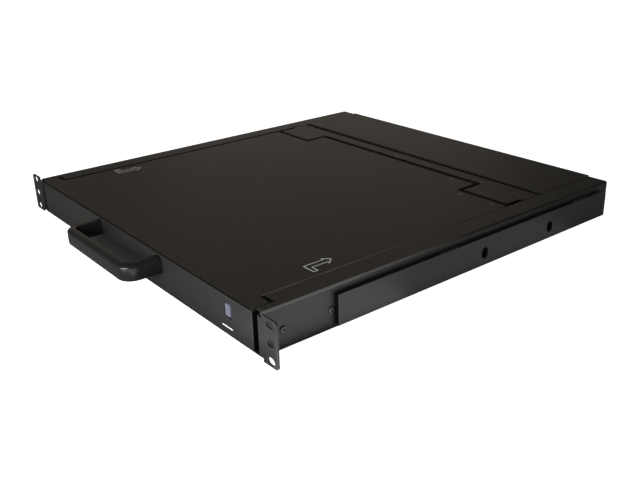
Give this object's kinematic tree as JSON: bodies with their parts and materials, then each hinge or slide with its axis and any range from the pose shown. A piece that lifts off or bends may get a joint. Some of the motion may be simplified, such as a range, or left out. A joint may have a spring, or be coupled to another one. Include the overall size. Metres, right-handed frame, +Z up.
{
  "type": "rackmount lcd console drawer",
  "caption": "One-unit rack drawer holding a flip-up flat screen over a keyboard and touchpad, sliding on ball slides in a slotted-ear steel chassis with a bail handle.",
  "frame": {"origin": "centre of the rack-ear slot pattern, on the ears' rear (mounting) face", "axes": "+X to the right of someone facing the front, +Y to the rear of the rack, +Z up"},
  "size_m": [0.4826, 0.4994, 0.0412],
  "materials": {
    "powder_black": "fine-textured black powder coat",
    "tray_steel": "black powder coat",
    "zinc_steel": "zinc-plated steel",
    "spring_steel": "drawn wire",
    "screw_black": "black oxide",
    "handle_black": "satin moulded",
    "board_green": "solder mask",
    "connector_black": "moulded",
    "connector_metal": "plated shell",
    "button_blue": "satin moulded",
    "rubber_black": "matt",
    "deck_plastic": "fine grain",
    "key_plastic": "satin",
    "lens_green": "clear",
    "lcd_glass": "anti-glare"
  },
  "bodies": {
    "chassis": {"chassis_shell": "powder_black", "rack_ear_left": "powder_black", "rack_ear_right": "powder_black", "slide_spacers": "zinc_steel", "side_sleeve_left": "powder_black", "side_sleeve_right": "powder_black", "rear_cover": "powder_black", "rear_cover_screws": "screw_black", "controller_board": "board_green", "dc_inlet": "connector_black", "usb_connector": "connector_metal", "video_connector": "connector_metal", "slide_outer_left": "zinc_steel", "slide_outer_right": "zinc_steel", "chassis_screws": "screw_black"},
    "slide_middle_left": {"slide_middle_left": "zinc_steel"},
    "slide_middle_right": {"slide_middle_right": "zinc_steel"},
    "outer_ball_cages": {"ball_cages_outer": "zinc_steel"},
    "inner_ball_cages": {"ball_cages_inner": "zinc_steel"},
    "drawer": {"tray_pan": "tray_steel", "front_bezel": "powder_black", "drawer_handle": "handle_black", "handle_screws": "screw_black", "latch_cover": "powder_black", "latch_guide": "zinc_steel", "latch_spring": "spring_steel", "lid_bumpers": "rubber_black", "keyboard_deck": "deck_plastic", "keyboard_plate": "zinc_steel", "touchpad": "key_plastic", "indicator_lenses": "lens_green", "hinge_cover": "powder_black", "hinge_cover_screws": "screw_black", "hinge_bracket_left": "zinc_steel", "hinge_bracket_right": "zinc_steel", "slide_inner_left": "zinc_steel", "slide_inner_right": "zinc_steel"},
    "release_button": {"release_button": "button_blue"},
    "latch_bolt": {"latch_bolt": "zinc_steel"},
    "display": {"display_back_cover": "powder_black", "display_frame": "deck_plastic", "lcd_panel": "lcd_glass", "display_board": "board_green", "osd_board": "board_green", "display_screws": "screw_black", "hinge_arm_left": "zinc_steel", "hinge_arm_right": "zinc_steel"},
    "touchpad_button_left": {"touchpad_button_left": "key_plastic"},
    "touchpad_button_right": {"touchpad_button_right": "key_plastic"},
    "keys_function_row": {"keys_function_row": "key_plastic"},
    "keys_number_row": {"keys_number_row": "key_plastic"},
    "keys_upper_row": {"keys_upper_row": "key_plastic"},
    "keys_home_row": {"keys_home_row": "key_plastic"},
    "keys_lower_row": {"keys_lower_row": "key_plastic"},
    "keys_space_row": {"keys_space_row": "key_plastic"},
    "keys_numpad_row": {"keys_numpad_row": "key_plastic"},
    "osd_button_1": {"osd_button_1": "key_plastic"},
    "osd_button_2": {"osd_button_2": "key_plastic"},
    "osd_button_3": {"osd_button_3": "key_plastic"},
    "osd_button_4": {"osd_button_4": "key_plastic"}
  },
  "joints": [
    {"name": "drawer_slide", "type": "slide", "parent": "chassis", "child": "drawer", "axis": [0, -1, 0], "range_m": [0, 0.4]},
    {"name": "slide_middle_left_travel", "type": "slide", "parent": "chassis", "child": "slide_middle_left", "axis": [0, -1, 0], "range_m": [0, 0.2]},
    {"name": "slide_middle_right_travel", "type": "slide", "parent": "chassis", "child": "slide_middle_right", "axis": [0, -1, 0], "range_m": [0, 0.2]},
    {"name": "outer_cage_travel", "type": "slide", "parent": "chassis", "child": "outer_ball_cages", "axis": [0, -1, 0], "range_m": [0, 0.1]},
    {"name": "inner_cage_travel", "type": "slide", "parent": "chassis", "child": "inner_ball_cages", "axis": [0, -1, 0], "range_m": [0, 0.3]},
    {"name": "display_hinge", "type": "hinge", "parent": "drawer", "child": "display", "pos_m": [0, 0.334, 0.011], "axis": [-1, 0, 0], "range_deg": [0, 115]},
    {"name": "release_button_press", "type": "slide", "parent": "drawer", "child": "release_button", "axis": [0, 1, 0], "range_m": [0, 0.003], "stiffness_N_per_m": 800, "springref_m": -0.002},
    {"name": "latch_bolt_travel", "type": "slide", "parent": "drawer", "child": "latch_bolt", "axis": [-1, 0, 0], "range_m": [0, 0.003], "deforming": ["latch_spring"]},
    {"name": "keys_function_press", "type": "slide", "parent": "drawer", "child": "keys_function_row", "axis": [0, 0, -1], "range_m": [0, 0.0025], "stiffness_N_per_m": 900, "springref_m": -0.0015},
    {"name": "keys_number_press", "type": "slide", "parent": "drawer", "child": "keys_number_row", "axis": [0, 0, -1], "range_m": [0, 0.0025], "stiffness_N_per_m": 900, "springref_m": -0.0015},
    {"name": "keys_upper_press", "type": "slide", "parent": "drawer", "child": "keys_upper_row", "axis": [0, 0, -1], "range_m": [0, 0.0025], "stiffness_N_per_m": 900, "springref_m": -0.0015},
    {"name": "keys_home_press", "type": "slide", "parent": "drawer", "child": "keys_home_row", "axis": [0, 0, -1], "range_m": [0, 0.0025], "stiffness_N_per_m": 900, "springref_m": -0.0015},
    {"name": "keys_lower_press", "type": "slide", "parent": "drawer", "child": "keys_lower_row", "axis": [0, 0, -1], "range_m": [0, 0.0025], "stiffness_N_per_m": 900, "springref_m": -0.0015},
    {"name": "keys_space_press", "type": "slide", "parent": "drawer", "child": "keys_space_row", "axis": [0, 0, -1], "range_m": [0, 0.0025], "stiffness_N_per_m": 900, "springref_m": -0.0015},
    {"name": "keys_numpad_press", "type": "slide", "parent": "drawer", "child": "keys_numpad_row", "axis": [0, 0, -1], "range_m": [0, 0.0025], "stiffness_N_per_m": 900, "springref_m": -0.0015},
    {"name": "touchpad_left_press", "type": "slide", "parent": "drawer", "child": "touchpad_button_left", "axis": [0, 0, -1], "range_m": [0, 0.0008], "stiffness_N_per_m": 900, "springref_m": -0.0006},
    {"name": "touchpad_right_press", "type": "slide", "parent": "drawer", "child": "touchpad_button_right", "axis": [0, 0, -1], "range_m": [0, 0.0008], "stiffness_N_per_m": 900, "springref_m": -0.0006},
    {"name": "osd_1_press", "type": "slide", "parent": "display", "child": "osd_button_1", "axis": [0, 0, 1], "range_m": [0, 0.0006], "stiffness_N_per_m": 900, "springref_m": -0.0006},
    {"name": "osd_2_press", "type": "slide", "parent": "display", "child": "osd_button_2", "axis": [0, 0, 1], "range_m": [0, 0.0006], "stiffness_N_per_m": 900, "springref_m": -0.0006},
    {"name": "osd_3_press", "type": "slide", "parent": "display", "child": "osd_button_3", "axis": [0, 0, 1], "range_m": [0, 0.0006], "stiffness_N_per_m": 900, "springref_m": -0.0006},
    {"name": "osd_4_press", "type": "slide", "parent": "display", "child": "osd_button_4", "axis": [0, 0, 1], "range_m": [0, 0.0006], "stiffness_N_per_m": 900, "springref_m": -0.0006}
  ],
  "couplings": [
    {"joint": "slide_middle_left_travel", "follows": "drawer_slide", "ratio": 0.5},
    {"joint": "slide_middle_right_travel", "follows": "drawer_slide", "ratio": 0.5},
    {"joint": "outer_cage_travel", "follows": "drawer_slide", "ratio": 0.25},
    {"joint": "inner_cage_travel", "follows": "drawer_slide", "ratio": 0.75},
    {"joint": "latch_bolt_travel", "follows": "release_button_press", "ratio": 1}
  ]
}
